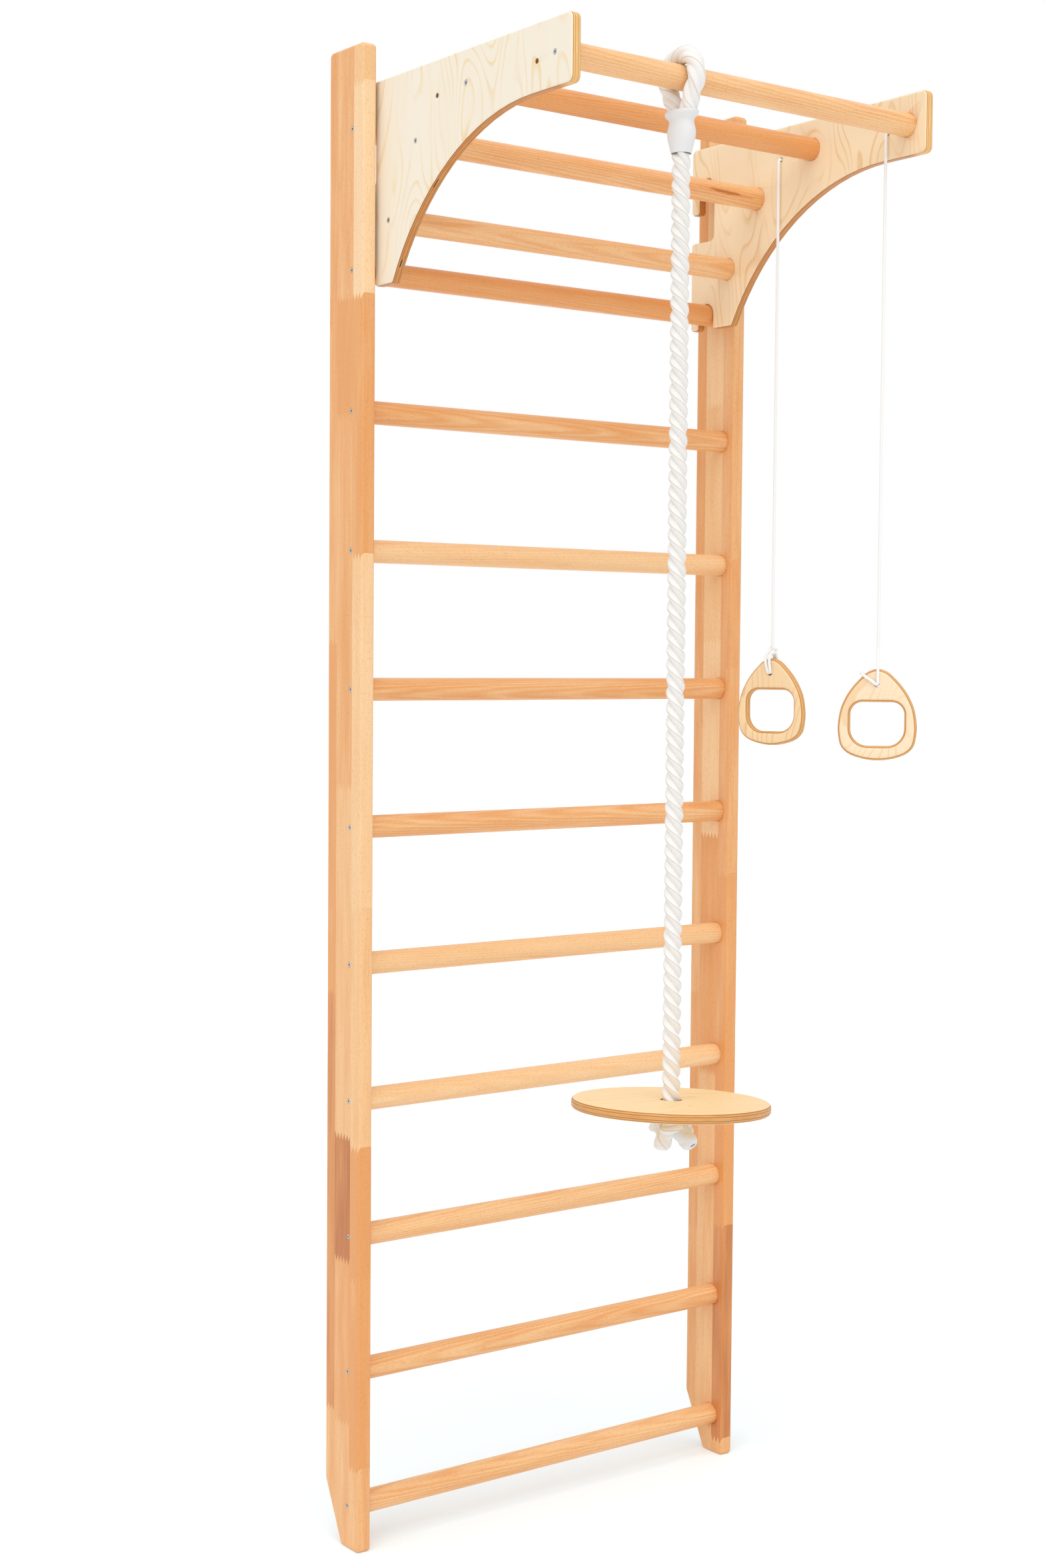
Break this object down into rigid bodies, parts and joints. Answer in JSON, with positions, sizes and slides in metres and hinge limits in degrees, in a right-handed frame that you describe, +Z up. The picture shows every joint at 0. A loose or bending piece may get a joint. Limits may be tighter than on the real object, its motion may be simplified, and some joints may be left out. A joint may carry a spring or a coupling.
{
  "type": "gymnastic wall bars with pull-up canopy",
  "caption": "Wooden wall-bar ladder with a hook-on pull-up canopy, a hanging climbing rope with a round seat disc, and hand rings on cords, for climbing and exercise at home.",
  "frame": {"origin": "on the floor, in the middle of the overall width and depth", "axes": "+Z up, +X to the right seen from the front, +Y towards the wall that carries the ladder"},
  "size_m": [0.8, 0.7046, 2.4],
  "materials": {
    "beech_uprights": "satin clear lacquer on finger-jointed beech",
    "beech_bars": "satin clear lacquer on turned beech",
    "birch_plywood": "satin clear lacquer on birch plywood",
    "zinc_screws": "bright zinc",
    "white_rope": "matt twisted cotton",
    "white_cord": "matt braided cord",
    "white_sleeve": "semi-matt shrunk sleeve"
  },
  "bodies": {
    "ladder": {"left_upright": "beech_uprights", "right_upright": "beech_uprights", "ladder_rung_01": "beech_bars", "ladder_rung_02": "beech_bars", "ladder_rung_03": "beech_bars", "ladder_rung_04": "beech_bars", "ladder_rung_05": "beech_bars", "ladder_rung_06": "beech_bars", "ladder_rung_07": "beech_bars", "ladder_rung_08": "beech_bars", "ladder_rung_09": "beech_bars", "ladder_rung_10": "beech_bars", "ladder_rung_11": "beech_bars", "left_rung_screw_01": "zinc_screws", "left_rung_screw_02": "zinc_screws", "left_rung_screw_03": "zinc_screws", "left_rung_screw_04": "zinc_screws", "left_rung_screw_05": "zinc_screws", "left_rung_screw_06": "zinc_screws", "left_rung_screw_07": "zinc_screws", "left_rung_screw_08": "zinc_screws", "left_rung_screw_09": "zinc_screws", "left_rung_screw_10": "zinc_screws", "left_rung_screw_11": "zinc_screws", "right_rung_screw_01": "zinc_screws", "right_rung_screw_02": "zinc_screws", "right_rung_screw_03": "zinc_screws", "right_rung_screw_04": "zinc_screws", "right_rung_screw_05": "zinc_screws", "right_rung_screw_06": "zinc_screws", "right_rung_screw_07": "zinc_screws", "right_rung_screw_08": "zinc_screws", "right_rung_screw_09": "zinc_screws", "right_rung_screw_10": "zinc_screws", "right_rung_screw_11": "zinc_screws"},
    "canopy": {"left_cheek": "birch_plywood", "right_cheek": "birch_plywood", "pull_up_bar": "beech_bars", "upper_bar": "beech_bars", "middle_bar": "beech_bars", "lower_bar": "beech_bars", "left_bar_screw_1": "zinc_screws", "left_bar_screw_2": "zinc_screws", "left_bar_screw_3": "zinc_screws", "left_bar_screw_4": "zinc_screws", "right_bar_screw_1": "zinc_screws", "right_bar_screw_2": "zinc_screws", "right_bar_screw_3": "zinc_screws", "right_bar_screw_4": "zinc_screws"},
    "rope_eye": {"rope_eye": "white_rope", "rope_sleeve": "white_sleeve"},
    "rope": {"climbing_rope": "white_rope", "rope_knot": "white_rope"},
    "seat": {"seat_disc": "birch_plywood"},
    "front_cord": {"front_ring_cord": "white_cord"},
    "front_ring": {"front_hand_ring": "birch_plywood", "front_ring_loop": "white_cord"},
    "rear_cord": {"rear_ring_cord": "white_cord"},
    "rear_ring": {"rear_hand_ring": "birch_plywood", "rear_ring_loop": "white_cord"}
  },
  "joints": [
    {"name": "canopy_lift", "type": "slide", "parent": "ladder", "child": "canopy", "axis": [0, 0, 1], "range_m": [0, 0.06]},
    {"name": "rope_swing", "type": "hinge", "parent": "canopy", "child": "rope_eye", "pos_m": [-0.135, -0.20225, 2.2945], "axis": [1, 0, 0], "range_deg": [-45, 9]},
    {"name": "rope_sway", "type": "hinge", "parent": "rope_eye", "child": "rope", "pos_m": [-0.135, -0.20225, 2.1702], "axis": [0, 1, 0], "range_deg": [-10, 10]},
    {"name": "seat_spin", "type": "hinge", "parent": "rope", "child": "seat", "pos_m": [-0.135, -0.20225, 0.774], "axis": [0, 0, 1], "continuous": true},
    {"name": "front_ring_swing", "type": "hinge", "parent": "canopy", "child": "front_cord", "pos_m": [0.335, -0.15975, 2.29], "axis": [1, 0, 0], "range_deg": [-45, 3]},
    {"name": "front_ring_spin", "type": "hinge", "parent": "front_cord", "child": "front_ring", "pos_m": [0.33, -0.15975, 1.4], "axis": [0, 0, 1], "continuous": true},
    {"name": "rear_ring_swing", "type": "hinge", "parent": "canopy", "child": "rear_cord", "pos_m": [0.335, 0.09275, 2.29], "axis": [1, 0, 0], "range_deg": [-3, 5]},
    {"name": "rear_ring_spin", "type": "hinge", "parent": "rear_cord", "child": "rear_ring", "pos_m": [0.33, 0.09275, 1.4], "axis": [0, 0, 1], "continuous": true}
  ]
}
